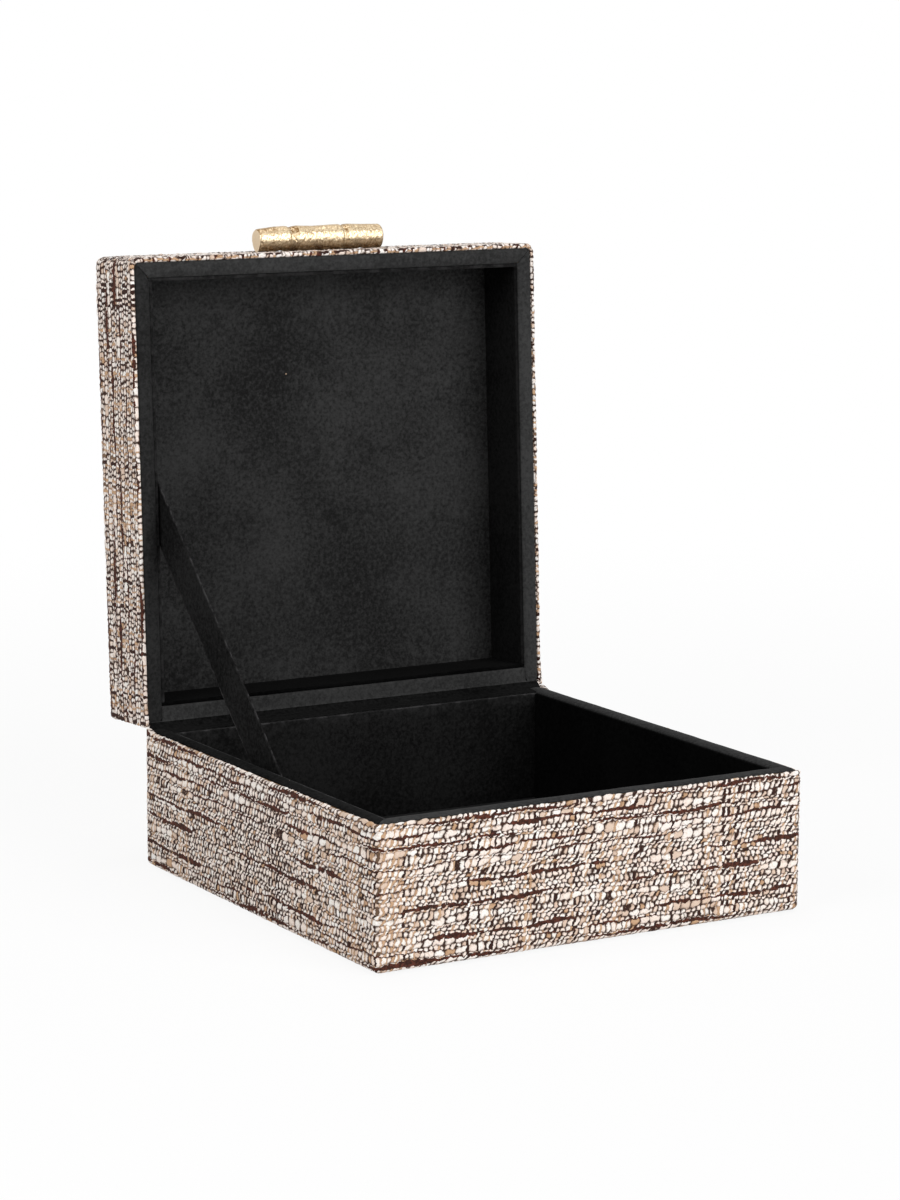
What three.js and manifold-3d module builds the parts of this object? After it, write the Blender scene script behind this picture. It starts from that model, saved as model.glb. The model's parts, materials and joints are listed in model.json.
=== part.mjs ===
// Storage box with a hinged lid, in millimetres, +Z up. The origin is the middle of the underside,
// -Y is the front, and the lid stands open against its strap.
import * as THREE from 'three';
import { mergeVertices } from 'three/addons/utils/BufferGeometryUtils.js';
import Module from 'manifold-3d';

const wasm = await Module();
wasm.setup();

// Overall sizes, over the fabric
const boxWidth = 200;
const boxDepth = 200;
const baseHeight = 60; // underside to the base's rim
const lidHeight = 37; // rim to the lid's top
const openAngle = 93; // degrees between the two rims when the strap is taut
const rimGap = 1; // between the two rims when the lid is shut

// Thicknesses of the layers
const boardThickness = 6;
const floorBoardThickness = 6;
const lidTopBoardThickness = 6;
const fabricThickness = 2;
const linerThickness = 1.6;
const rimThickness = 0.8;
const bottomSheetThickness = 0.6;
const glueGap = 0.3; // glue line between two pieces

// Rounding, hem and edges
const cornerRadius = 3; // upright corners of the fabric
const baseEdgeRadius = 2.6; // bottom edge of the base's fabric
const lidEdgeRadius = 2.6; // top edge of the lid's fabric
const leastRadius = 0.3; // rounding left on an inner layer's corner
const hemWidth = 14; // fabric turned in under the floor
const bottomSheetInset = 5; // from the outline of the fabric
const linerRecess = 0.8; // liner edges lie this far below the rim

// Handle bar in the form of a bamboo cane with two nodes, and its screws
const handleLength = 61;
const handleEndRadius = 4.5;
const handleRidgeRadius = 5.4; // swelling on both sides of a node
const handleNodeRadius = 4.7; // groove of a node
const handleWaistRadius = 4.9; // between two nodes
const handleLeftSection = 15.1; // from the left end to the left node
const handleRightSection = 18.1; // from the right end to the right node
const handleRidgeReach = 2.2; // from a node's groove to its ridges
const handleCapBevel = 0.6;
const screwInset = 10.5; // from the bar's ends to the screws
const screwRadius = 2;
const screwHeadRadius = 3.6;
const screwHeadHeight = 2.4;
const screwEngagement = 4; // thread inside the bar
const screwClearance = 0.3;

// Cloth hinge, of the same suede as the rims
const hingeBendReach = 2; // from the crease to where the bend begins on each side
const hingeSeam = 0.05; // the bend is sunk into its leaves by this much

// Ribbon stay on the left
const strapWidth = 19;
const strapThickness = 1;
const strapReach = 88; // hinge axis to where the ribbon crosses each rim
const strapTail = 15; // glued length past each rim

// Steps of the round forms
const cornerSteps = 6;
const edgeSteps = 4;
const barSides = 24;
const barSteps = 40;
const screwSides = 20;

// Places worked out from the sizes
const carcassX = boxWidth / 2 - fabricThickness - glueGap;
const carcassY = boxDepth / 2 - fabricThickness - glueGap;
const fabricInnerRadius = Math.max(cornerRadius - fabricThickness, leastRadius);
const carcassRadius = Math.max(fabricInnerRadius - glueGap, leastRadius);
const boardInnerX = carcassX - boardThickness;
const boardInnerY = carcassY - boardThickness;
const linerOuterX = boardInnerX - glueGap;
const linerOuterY = boardInnerY - glueGap;
const linerInnerX = linerOuterX - linerThickness;
const linerInnerY = linerOuterY - linerThickness;
const edgeDrop = rimThickness + glueGap; // board edges below the rim

const hemLow = bottomSheetThickness + glueGap;
const hemHigh = hemLow + fabricThickness;
const floorLow = hemHigh + glueGap;
const floorHigh = floorLow + floorBoardThickness;
const floorLinerHigh = floorHigh + glueGap + linerThickness;

const lidBoardHigh = lidHeight - fabricThickness - glueGap;
const lidBoardLow = lidBoardHigh - lidTopBoardThickness;
const lidLinerLow = lidBoardLow - glueGap - linerThickness;

const hingeY = boxDepth / 2;
const hingeZ = baseHeight + rimGap / 2;
const lidTurn = -THREE.MathUtils.degToRad(openAngle);
const handleZ = lidHeight / 2; // the bar is centred on the lid's front

// Booleans on closed meshes
function solidOf(geometry) {
  const bare = geometry.clone();
  bare.deleteAttribute('normal');
  bare.deleteAttribute('uv');
  const welded = mergeVertices(bare);
  return new wasm.Manifold(new wasm.Mesh({
    numProp: 3,
    vertProperties: new Float32Array(welded.attributes.position.array),
    triVerts: new Uint32Array(welded.index.array),
  }));
}

function geometryOf(solid) {
  const mesh = solid.getMesh();
  const geometry = new THREE.BufferGeometry();
  geometry.setAttribute('position', new THREE.BufferAttribute(mesh.vertProperties, 3));
  geometry.setIndex(new THREE.BufferAttribute(mesh.triVerts, 1));
  geometry.computeVertexNormals();
  return geometry;
}

// Outlines and blocks. A block runs from zLow to zHigh about the Z axis.
function roundedRectangle(halfX, halfY, radius) {
  const shape = new THREE.Shape();
  shape.absarc(halfX - radius, halfY - radius, radius, 0, Math.PI / 2);
  shape.absarc(radius - halfX, halfY - radius, radius, Math.PI / 2, Math.PI);
  shape.absarc(radius - halfX, radius - halfY, radius, Math.PI, Math.PI * 1.5);
  shape.absarc(halfX - radius, radius - halfY, radius, Math.PI * 1.5, Math.PI * 2);
  shape.closePath();
  return shape;
}

function prism(shape, zLow, zHigh) {
  const options = { depth: zHigh - zLow, bevelEnabled: false, curveSegments: cornerSteps };
  return new THREE.ExtrudeGeometry(shape, options).translate(0, 0, zLow);
}

function box(xLow, xHigh, yLow, yHigh, zLow, zHigh) {
  const geometry = new THREE.BoxGeometry(xHigh - xLow, yHigh - yLow, zHigh - zLow);
  return geometry.translate((xLow + xHigh) / 2, (yLow + yHigh) / 2, (zLow + zHigh) / 2);
}

// A rounded block whose top and bottom edges are rounded too
function softBlock(halfX, halfY, radius, edgeRadius, zLow, zHigh) {
  const options = {
    depth: zHigh - zLow - 2 * edgeRadius,
    curveSegments: cornerSteps,
    bevelThickness: edgeRadius,
    bevelSize: edgeRadius,
    bevelOffset: -edgeRadius,
    bevelSegments: edgeSteps,
  };
  const planRadius = Math.max(radius, edgeRadius + leastRadius); // the edge turns inside the corner
  const shape = roundedRectangle(halfX, halfY, planRadius);
  return new THREE.ExtrudeGeometry(shape, options).translate(0, 0, zLow + edgeRadius);
}

// Finishes
const tweed = () => new THREE.MeshStandardMaterial({ color: 0xcdbba6, roughness: 0.95, metalness: 0 });
const suede = () => new THREE.MeshStandardMaterial({ color: 0x1d1b1c, roughness: 0.9, metalness: 0 });
const fibreboard = () => new THREE.MeshStandardMaterial({ color: 0xb08a5c, roughness: 0.8, metalness: 0 });
const card = () => new THREE.MeshStandardMaterial({ color: 0x8d857a, roughness: 0.85, metalness: 0 });
const brass = () => new THREE.MeshStandardMaterial({ color: 0xc9a469, roughness: 0.3, metalness: 1 });
const steel = () => new THREE.MeshStandardMaterial({ color: 0xb9bcc0, roughness: 0.35, metalness: 1 });

function piece(name, geometry, material) {
  const mesh = new THREE.Mesh(geometry, material);
  mesh.name = name;
  return mesh;
}

// Four wall boards: the front and back ones run the full width and have rounded outer corners
function longBoardShape() {
  const radius = Math.min(carcassRadius, boardThickness);
  const shape = new THREE.Shape();
  shape.moveTo(carcassX, -boardInnerY);
  shape.lineTo(-carcassX, -boardInnerY);
  shape.absarc(radius - carcassX, radius - carcassY, radius, Math.PI, Math.PI * 1.5);
  shape.absarc(carcassX - radius, radius - carcassY, radius, Math.PI * 1.5, Math.PI * 2);
  shape.closePath();
  return shape;
}

function addBoards(group, prefix, zLow, zHigh, frontGeometry) {
  const back = prism(longBoardShape(), zLow, zHigh).rotateZ(Math.PI);
  const sideY = boardInnerY - glueGap;
  const left = box(-carcassX, -boardInnerX, -sideY, sideY, zLow, zHigh);
  const right = box(boardInnerX, carcassX, -sideY, sideY, zLow, zHigh);
  group.add(piece(`${prefix}_front_board`, frontGeometry, fibreboard()));
  group.add(piece(`${prefix}_back_board`, back, fibreboard()));
  group.add(piece(`${prefix}_left_board`, left, fibreboard()));
  group.add(piece(`${prefix}_right_board`, right, fibreboard()));
}

// Four wall liners: the front and back ones run the full inner width
function addLiners(group, prefix, zLow, zHigh) {
  const sideY = linerInnerY - glueGap;
  const front = box(-linerOuterX, linerOuterX, -linerOuterY, -linerInnerY, zLow, zHigh);
  const back = box(-linerOuterX, linerOuterX, linerInnerY, linerOuterY, zLow, zHigh);
  const left = box(-linerOuterX, -linerInnerX, -sideY, sideY, zLow, zHigh);
  const right = box(linerInnerX, linerOuterX, -sideY, sideY, zLow, zHigh);
  group.add(piece(`${prefix}_front_liner`, front, suede()));
  group.add(piece(`${prefix}_back_liner`, back, suede()));
  group.add(piece(`${prefix}_left_liner`, left, suede()));
  group.add(piece(`${prefix}_right_liner`, right, suede()));
}

// One side of the suede rim, cut at 45 degrees where it meets its neighbours
function rimSide(side, zLow, zHigh) {
  const shape = roundedRectangle(carcassX, carcassY, carcassRadius);
  const opening = new THREE.Path();
  opening.moveTo(-boardInnerX, -boardInnerY);
  opening.lineTo(-boardInnerX, boardInnerY);
  opening.lineTo(boardInnerX, boardInnerY);
  opening.lineTo(boardInnerX, -boardInnerY);
  opening.closePath();
  shape.holes.push(opening);
  const across = side === 'left' || side === 'right';
  const outer = across ? carcassX : carcassY;
  const inner = across ? boardInnerX : boardInnerY;
  const reach = across ? carcassY : carcassX;
  const shift = glueGap / Math.SQRT2;
  const past = boardThickness / 2; // the cutter runs past both edges of the strip
  const farEnd = reach + past - shift;
  const nearEnd = reach - boardThickness - past - shift;
  const cutter = new THREE.Shape();
  cutter.moveTo(-farEnd, -outer - past);
  cutter.lineTo(farEnd, -outer - past);
  cutter.lineTo(nearEnd, -inner + past);
  cutter.lineTo(-nearEnd, -inner + past);
  cutter.closePath();
  const turn = { front: 0, right: Math.PI / 2, back: Math.PI, left: -Math.PI / 2 }[side];
  const wedge = prism(cutter, zLow - past, zHigh + past).rotateZ(turn);
  return solidOf(prism(shape, zLow, zHigh)).intersect(solidOf(wedge));
}

function addRims(group, prefix, zLow, zHigh) {
  for (const side of ['front', 'left', 'right']) {
    group.add(piece(`${prefix}_${side}_rim`, geometryOf(rimSide(side, zLow, zHigh)), suede()));
  }
}

// Room for the hinge cloth over the fabric's edge at the back
function hingeNotch(zLow, zHigh) {
  const halfX = boardInnerX + glueGap;
  return solidOf(box(-halfX, halfX, carcassY, boxDepth / 2 + fabricThickness, zLow, zHigh));
}

// Base
function baseCover() {
  const halfX = boxWidth / 2;
  const halfY = boxDepth / 2;
  const innerX = halfX - fabricThickness;
  const innerY = halfY - fabricThickness;
  const above = baseHeight + 2 * baseEdgeRadius;
  const hemX = innerX - hemWidth;
  const hemY = innerY - hemWidth;
  const outside = solidOf(softBlock(halfX, halfY, cornerRadius, baseEdgeRadius, hemLow, above));
  const overTop = solidOf(box(-boxWidth, boxWidth, -boxDepth, boxDepth, baseHeight, above + baseHeight));
  const inside = solidOf(prism(roundedRectangle(innerX, innerY, fabricInnerRadius), hemHigh, above));
  const hemHole = solidOf(prism(roundedRectangle(hemX, hemY, fabricInnerRadius), -hemLow, above));
  const notch = hingeNotch(baseHeight - edgeDrop, above);
  return outside.subtract(overTop).subtract(inside).subtract(hemHole).subtract(notch);
}

function buildBase() {
  const base = new THREE.Group();
  const outline = roundedRectangle(carcassX, carcassY, carcassRadius);
  const sheetX = boxWidth / 2 - bottomSheetInset;
  const sheetY = boxDepth / 2 - bottomSheetInset;
  const fillerX = carcassX - hemWidth;
  const fillerY = carcassY - hemWidth;
  const sheet = prism(roundedRectangle(sheetX, sheetY, cornerRadius), 0, bottomSheetThickness);
  const filler = prism(roundedRectangle(fillerX, fillerY, carcassRadius), hemLow, hemHigh);
  const wallLow = floorHigh + glueGap;
  const wallHigh = baseHeight - edgeDrop;
  const floorLiner = box(-linerOuterX, linerOuterX, -linerOuterY, linerOuterY, wallLow, floorLinerHigh);
  base.add(piece('base_floor_board', prism(outline, floorLow, floorHigh), fibreboard()));
  base.add(piece('base_fabric_cover', geometryOf(baseCover()), tweed()));
  base.add(piece('base_filler_card', filler, card()));
  base.add(piece('base_bottom_sheet', sheet, suede()));
  base.add(piece('base_floor_liner', floorLiner, suede()));
  addBoards(base, 'base', wallLow, wallHigh, prism(longBoardShape(), wallLow, wallHigh));
  addLiners(base, 'base', floorLinerHigh + glueGap, baseHeight - linerRecess);
  addRims(base, 'base', baseHeight - rimThickness, baseHeight);
  return base;
}

// Handle bar along X: its outline runs from one end cap over the sections and nodes to the other
function barOutline() {
  const half = handleLength / 2;
  const leftNode = handleLeftSection - half;
  const rightNode = half - handleRightSection;
  const swell = new THREE.SplineCurve([
    new THREE.Vector2(handleEndRadius, handleCapBevel - half),
    new THREE.Vector2(handleEndRadius, (leftNode - half) / 2),
    new THREE.Vector2(handleRidgeRadius, leftNode - handleRidgeReach),
    new THREE.Vector2(handleNodeRadius, leftNode),
    new THREE.Vector2(handleRidgeRadius, leftNode + handleRidgeReach),
    new THREE.Vector2(handleWaistRadius, (leftNode + rightNode) / 2),
    new THREE.Vector2(handleRidgeRadius, rightNode - handleRidgeReach),
    new THREE.Vector2(handleNodeRadius, rightNode),
    new THREE.Vector2(handleRidgeRadius, rightNode + handleRidgeReach),
    new THREE.Vector2(handleEndRadius, (rightNode + half) / 2),
    new THREE.Vector2(handleEndRadius, half - handleCapBevel),
  ]);
  const capRadius = handleEndRadius - handleCapBevel;
  const start = [new THREE.Vector2(0, -half), new THREE.Vector2(capRadius, -half)];
  const end = [new THREE.Vector2(capRadius, half), new THREE.Vector2(0, half)];
  return [...start, ...swell.getPoints(barSteps), ...end];
}

// The bar lies against the lid's front, and its screws come from inside the front board
const barReach = Math.max(...barOutline().map((point) => point.x));
const barY = -boxDepth / 2 - glueGap - barReach;
const screwX = handleLength / 2 - screwInset;
const screwBoreRadius = screwRadius + screwClearance;
const counterboreY = -boardInnerY - screwHeadHeight - screwClearance;
const boreEndY = -boxDepth / 2 - glueGap - screwEngagement - screwClearance;
const screwPlaces = { left: -screwX, right: screwX };

function screwBore(x, radius, yFrom, yTo) {
  const length = Math.abs(yTo - yFrom);
  const bore = new THREE.CylinderGeometry(radius, radius, length, screwSides);
  return solidOf(bore.translate(x, (yFrom + yTo) / 2, handleZ));
}

function handleBar() {
  const cane = new THREE.LatheGeometry(barOutline(), barSides).rotateZ(-Math.PI / 2);
  let bar = solidOf(cane.translate(0, barY, handleZ));
  for (const x of Object.values(screwPlaces)) {
    bar = bar.subtract(screwBore(x, screwBoreRadius, boreEndY, -boxDepth / 2));
  }
  return bar;
}

function handleScrew() {
  const seatY = counterboreY + screwClearance;
  const tipY = boreEndY + screwClearance;
  const outline = [
    new THREE.Vector2(0, tipY),
    new THREE.Vector2(screwRadius, tipY),
    new THREE.Vector2(screwRadius, seatY),
    new THREE.Vector2(screwHeadRadius, seatY),
    new THREE.Vector2(screwHeadRadius, seatY + screwHeadHeight),
    new THREE.Vector2(0, seatY + screwHeadHeight),
  ];
  return new THREE.LatheGeometry(outline, screwSides);
}

// Lid, in a frame whose origin is the middle of its rim and whose +Z points to its top
function lidCover() {
  const halfX = boxWidth / 2;
  const halfY = boxDepth / 2;
  const innerX = halfX - fabricThickness;
  const innerY = halfY - fabricThickness;
  const innerEdge = Math.max(lidEdgeRadius - fabricThickness, leastRadius);
  const below = -2 * lidEdgeRadius;
  const innerHigh = lidHeight - fabricThickness;
  const outside = solidOf(softBlock(halfX, halfY, cornerRadius, lidEdgeRadius, below, lidHeight));
  const underRim = solidOf(box(-boxWidth, boxWidth, -boxDepth, boxDepth, below - lidHeight, 0));
  const inside = solidOf(softBlock(innerX, innerY, fabricInnerRadius, innerEdge, below, innerHigh));
  let cover = outside.subtract(underRim).subtract(inside).subtract(hingeNotch(below, edgeDrop));
  for (const x of Object.values(screwPlaces)) {
    cover = cover.subtract(screwBore(x, screwBoreRadius, -carcassY, barY));
  }
  return cover;
}

function lidTopBoard() {
  const edge = Math.max(lidEdgeRadius - fabricThickness - glueGap, leastRadius);
  const below = lidBoardLow - 2 * edge;
  const block = solidOf(softBlock(carcassX, carcassY, carcassRadius, edge, below, lidBoardHigh));
  return block.subtract(solidOf(box(-boxWidth, boxWidth, -boxDepth, boxDepth, below, lidBoardLow)));
}

function lidFrontBoard(zLow, zHigh) {
  let board = solidOf(prism(longBoardShape(), zLow, zHigh));
  for (const x of Object.values(screwPlaces)) {
    board = board.subtract(screwBore(x, screwBoreRadius, -boxDepth / 2, -linerOuterY));
    board = board.subtract(screwBore(x, screwHeadRadius + screwClearance, counterboreY, -linerOuterY));
  }
  return board;
}

function buildLid() {
  const lid = new THREE.Group();
  const wallHigh = lidBoardLow - glueGap;
  const topLiner = box(-linerOuterX, linerOuterX, -linerOuterY, linerOuterY, lidLinerLow, wallHigh);
  lid.add(piece('lid_top_board', geometryOf(lidTopBoard()), fibreboard()));
  lid.add(piece('lid_fabric_cover', geometryOf(lidCover()), tweed()));
  lid.add(piece('lid_top_liner', topLiner, suede()));
  addBoards(lid, 'lid', edgeDrop, wallHigh, geometryOf(lidFrontBoard(edgeDrop, wallHigh)));
  addLiners(lid, 'lid', linerRecess, lidLinerLow - glueGap);
  addRims(lid, 'lid', 0, rimThickness);
  lid.add(piece('handle_bar', geometryOf(handleBar()), brass()));
  for (const [side, x] of Object.entries(screwPlaces)) {
    const screw = piece(`handle_screw_${side}`, handleScrew(), steel());
    screw.position.set(x, 0, handleZ);
    lid.add(screw);
  }
  lid.position.set(0, -boxDepth / 2, rimGap / 2);
  const swing = new THREE.Group();
  swing.position.set(0, hingeY, hingeZ);
  swing.rotation.x = lidTurn;
  swing.add(lid);
  return swing;
}

// Point of the open lid at a distance up from the hinge axis and a depth behind the lid's rim
function openLidPoint(up, depth) {
  const closed = new THREE.Vector3(0, -up, rimGap / 2 + depth);
  return closed.applyAxisAngle(new THREE.Vector3(1, 0, 0), lidTurn).add(new THREE.Vector3(0, hingeY, hingeZ));
}

// Where a level plane meets the plane at a depth behind the open lid's rim
function creasePoint(depth, z) {
  const low = openLidPoint(0, depth);
  const high = openLidPoint(1, depth);
  return openLidPoint((z - low.z) / (high.z - low.z), depth);
}

// Suede strip over both back rims, bent in the crease between them
function hingeBend() {
  const faceZ = baseHeight - hingeSeam;
  const backZ = baseHeight - rimThickness + hingeSeam;
  const faceDepth = hingeSeam;
  const backDepth = rimThickness - hingeSeam;
  const leafOverlap = boardThickness / 2;
  const bendY = hingeY - hingeBendReach;
  const startY = carcassY - leafOverlap;
  const endUp = boxDepth / 2 - startY;
  const faceCorner = creasePoint(faceDepth, faceZ);
  const backCorner = creasePoint(backDepth, backZ);
  const faceBend = openLidPoint(hingeBendReach, faceDepth);
  const backBend = openLidPoint(hingeBendReach, backDepth);
  const faceEnd = openLidPoint(endUp, faceDepth);
  const backEnd = openLidPoint(endUp, backDepth);
  const section = new THREE.Shape();
  section.moveTo(startY, faceZ);
  section.lineTo(startY, backZ);
  section.lineTo(bendY, backZ);
  section.quadraticCurveTo(backCorner.y, backCorner.z, backBend.y, backBend.z);
  section.lineTo(backEnd.y, backEnd.z);
  section.lineTo(faceEnd.y, faceEnd.z);
  section.lineTo(faceBend.y, faceBend.z);
  section.quadraticCurveTo(faceCorner.y, faceCorner.z, bendY, faceZ);
  section.closePath();
  const alongX = new THREE.Matrix4().makeBasis(
    new THREE.Vector3(0, 1, 0),
    new THREE.Vector3(0, 0, 1),
    new THREE.Vector3(1, 0, 0),
  );
  return solidOf(prism(section, -boardInnerX, boardInnerX).applyMatrix4(alongX));
}

function hingeCloth() {
  const baseLeaf = rimSide('back', baseHeight - rimThickness, baseHeight);
  const lidLeaf = geometryOf(rimSide('back', 0, rimThickness));
  lidLeaf.translate(0, -boxDepth / 2, rimGap / 2).rotateX(lidTurn).translate(0, hingeY, hingeZ);
  return baseLeaf.add(hingeBend()).add(solidOf(lidLeaf));
}

// Ribbon stay, straight from the base's left liner to the lid's
function lidStrap() {
  const onBase = new THREE.Vector3(0, hingeY - strapReach, baseHeight);
  const onLid = openLidPoint(strapReach, 0);
  const run = onLid.clone().sub(onBase);
  const middle = onBase.clone().add(onLid).multiplyScalar(0.5);
  const ribbon = new THREE.BoxGeometry(strapThickness, run.length() + 2 * strapTail, strapWidth);
  ribbon.rotateX(Math.atan2(run.z, run.y));
  return ribbon.translate(-linerInnerX + glueGap + strapThickness / 2, middle.y, middle.z);
}

const storageBox = new THREE.Group();
storageBox.add(buildBase());
storageBox.add(buildLid());
storageBox.add(piece('hinge_cloth', geometryOf(hingeCloth()), suede()));
storageBox.add(piece('lid_strap', lidStrap(), suede()));

export default storageBox;
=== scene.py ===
import json
import math
import bpy
import numpy as np
from mathutils import Matrix, Vector


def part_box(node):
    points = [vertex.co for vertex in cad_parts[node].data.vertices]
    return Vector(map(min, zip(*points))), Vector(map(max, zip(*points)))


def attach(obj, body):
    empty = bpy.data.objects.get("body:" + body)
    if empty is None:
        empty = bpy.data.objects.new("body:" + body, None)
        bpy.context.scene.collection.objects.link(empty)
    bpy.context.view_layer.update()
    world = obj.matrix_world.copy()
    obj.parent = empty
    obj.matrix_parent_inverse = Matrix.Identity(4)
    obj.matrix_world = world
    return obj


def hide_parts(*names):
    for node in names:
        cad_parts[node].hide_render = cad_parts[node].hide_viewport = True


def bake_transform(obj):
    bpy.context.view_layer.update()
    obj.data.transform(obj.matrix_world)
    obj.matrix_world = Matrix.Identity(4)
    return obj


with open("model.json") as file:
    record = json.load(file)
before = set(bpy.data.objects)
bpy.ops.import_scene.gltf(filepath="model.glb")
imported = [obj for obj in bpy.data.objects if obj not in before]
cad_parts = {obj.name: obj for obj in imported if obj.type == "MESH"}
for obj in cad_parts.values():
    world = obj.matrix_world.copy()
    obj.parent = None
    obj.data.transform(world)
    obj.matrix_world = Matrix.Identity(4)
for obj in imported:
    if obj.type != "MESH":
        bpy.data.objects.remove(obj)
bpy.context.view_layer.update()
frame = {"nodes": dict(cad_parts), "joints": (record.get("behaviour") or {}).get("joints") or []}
mm = 0.001

# where the lid hangs: its own frame has the rim at z = 0 and its top at +z, as when it is shut
hinge = frame["joints"][0]
hingePoint = np.array(hinge["pos_m"])
lidTurn = -math.radians(hinge["range_deg"][1])
baseLow, baseHigh = (np.array(corner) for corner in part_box("base_fabric_cover"))
rimLevel = baseHigh[2]
lidShift = np.array([0, -hingePoint[1], hingePoint[2] - rimLevel])
lidSpin = np.array(Matrix.Rotation(lidTurn, 3, "X"))


def onLid(points):
    return (np.asarray(points) + lidShift) @ lidSpin.T + hingePoint


def onBase(points):
    return np.asarray(points)


# boxes of the solids in millimetres, the lid's in its own frame
def lidBox(node):
    corners = np.array([v.co for v in frame["nodes"][node].data.vertices])
    shut = (corners - hingePoint) @ lidSpin - lidShift
    return shut.min(0) / mm, shut.max(0) / mm


def baseBox(node):
    low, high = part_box(node)
    return np.array(low) / mm, np.array(high) / mm


places = {"base": (baseBox, onBase), "lid": (lidBox, onLid)}


# mesh helpers
def meshPiece(name, points, faces, material, smooth=True):
    mesh = bpy.data.meshes.new(name)
    mesh.from_pydata(np.asarray(points).tolist(), [], [list(map(int, face)) for face in faces])
    mesh.polygons.foreach_set("use_smooth", [smooth] * len(mesh.polygons))
    mesh.materials.append(material)
    mesh.update()
    piece = bpy.data.objects.new(name, mesh)
    bpy.context.scene.collection.objects.link(piece)
    return piece


def standFor(piece, node, body=None):
    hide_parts(node)
    if body:
        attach(piece, body)


def fillLayer(layer, key, values):
    layer.data.foreach_set(key, np.asarray(values, np.float32).ravel())


def cornerVectors(piece, name, vectors):
    fillLayer(piece.data.attributes.new(name, "FLOAT_VECTOR", "CORNER"), "vector", vectors)


def bakeMap(piece, spots):
    fillLayer(piece.data.uv_layers.new(name="OFBake"), "uv", spots)


def pointValues(piece, name, values):
    fillLayer(piece.data.attributes.new(name, "FLOAT", "POINT"), "value", values)


def loftFaces(rows, columns, ringRows=False, ringColumns=False):
    r = np.arange(rows if ringRows else rows - 1)
    c = np.arange(columns if ringColumns else columns - 1)
    r, c = (grid.ravel() for grid in np.meshgrid(r, c, indexing="ij"))
    nextR = (r + 1) % rows
    nextC = (c + 1) % columns
    return np.stack([r * columns + c, nextR * columns + c, nextR * columns + nextC, r * columns + nextC], 1)


def tubeFaces(rows, columns, flip):
    # sides and two end caps of a tube whose rows run round it
    first = np.arange(rows) * columns
    last = first[::-1] + columns - 1
    sides = loftFaces(rows, columns, True)
    if flip:
        return list(sides[:, ::-1]) + [first[::-1], last[::-1]]
    return list(sides) + [first, last]


def stops(low, high, radius, step):
    rounding = radius * np.array([0, 0.25, 0.55, 0.8])
    count = max(2, round((high - low - 2 * radius) / step))
    middle = np.linspace(low + radius, high - radius, count + 1)
    return np.concatenate([low + rounding, middle, high - rounding[::-1]])


def lattice(axes, sides):
    # quads on the chosen sides of a block, with the corners that they share
    last = [len(axis) - 1 for axis in axes]
    found = {}
    for side in sides:
        axis, far = "xyz".index(side[0]), side[1] == "+"
        a, b = [k for k in range(3) if k != axis]
        i, j = (g.ravel() for g in np.meshgrid(np.arange(last[a]), np.arange(last[b]), indexing="ij"))
        ring = [(i, j), (i + 1, j), (i + 1, j + 1), (i, j + 1)]
        if far == (axis == 1):
            ring.reverse()
        quads = np.zeros((len(i), 4, 3), int)
        for corner, (ca, cb) in enumerate(ring):
            quads[:, corner, a] = ca
            quads[:, corner, b] = cb
            quads[:, corner, axis] = last[axis] if far else 0
        found[side] = quads
    everything = np.concatenate(list(found.values())).reshape(-1, 3)
    keys = (everything[:, 0] * (last[1] + 1) + everything[:, 1]) * (last[2] + 1) + everything[:, 2]
    _, first, back = np.unique(keys, return_index=True, return_inverse=True)
    indices = everything[first]
    points = np.stack([axes[k][indices[:, k]] for k in range(3)], 1)
    faces = {}
    start = 0
    for side, quads in found.items():
        faces[side] = back[start:start + quads.shape[0] * 4].reshape(-1, 4)
        start += quads.shape[0] * 4
    return points, faces


def rounded(points, low, high, radius):
    core = np.clip(points, low + radius, high - radius)
    out = points - core
    normals = out / np.linalg.norm(out, axis=1, keepdims=True)
    return core + radius * normals, normals, core, out


def ripple(points, size, height, seed):
    # slow unevenness of glued cloth, the same at every run
    draw = np.random.default_rng(seed)
    total = np.zeros(len(points))
    waves = 6
    for _ in range(waves):
        way = draw.normal(size=3)
        way /= np.linalg.norm(way)
        total += np.sin(points @ way * 2 * math.pi / size + draw.uniform(0, 6.28))
        size *= 0.8
    return total / waves * height


# one formula for mesh and material: numbers here are numpy arrays or wires of a node tree
def feed(tree, socket, value):
    if isinstance(value, Wire):
        value = value.socket
    if isinstance(value, bpy.types.NodeSocket):
        tree.links.new(value, socket)
    else:
        socket.default_value = value


class Wire:
    def __init__(self, tree, socket):
        self.tree = tree
        self.socket = socket

    def work(self, operation, *values):
        node = self.tree.nodes.new("ShaderNodeMath")
        node.operation = operation
        for socket, value in zip(node.inputs, values):
            feed(self.tree, socket, value)
        return Wire(self.tree, node.outputs[0])

    def __add__(self, other):
        return self.work("ADD", self, other)

    def __radd__(self, other):
        return self.work("ADD", other, self)

    def __sub__(self, other):
        return self.work("SUBTRACT", self, other)

    def __rsub__(self, other):
        return self.work("SUBTRACT", other, self)

    def __mul__(self, other):
        return self.work("MULTIPLY", self, other)

    def __rmul__(self, other):
        return self.work("MULTIPLY", other, self)

    def __truediv__(self, other):
        return self.work("DIVIDE", self, other)


def eitherWay(operation, function):
    def act(*values):
        if isinstance(values[0], Wire):
            return values[0].work(operation, *values)
        return function(*values)
    return act


sine = eitherWay("SINE", np.sin)
whole = eitherWay("FLOOR", np.floor)
root = eitherWay("SQRT", np.sqrt)
larger = eitherWay("MAXIMUM", np.maximum)
isBelow = eitherWay("LESS_THAN", lambda x, y: (x < y) * 1.0)


def ease(x, low, high):
    if isinstance(x, Wire):
        node = x.tree.nodes.new("ShaderNodeMapRange")
        node.interpolation_type = "SMOOTHSTEP"
        for label, value in (("Value", x), ("From Min", low), ("From Max", high)):
            feed(x.tree, node.inputs[label], value)
        return Wire(x.tree, node.outputs["Result"])
    t = np.clip((x - low) / (high - low), 0, 1)
    return t * t * (3 - 2 * t)


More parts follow.
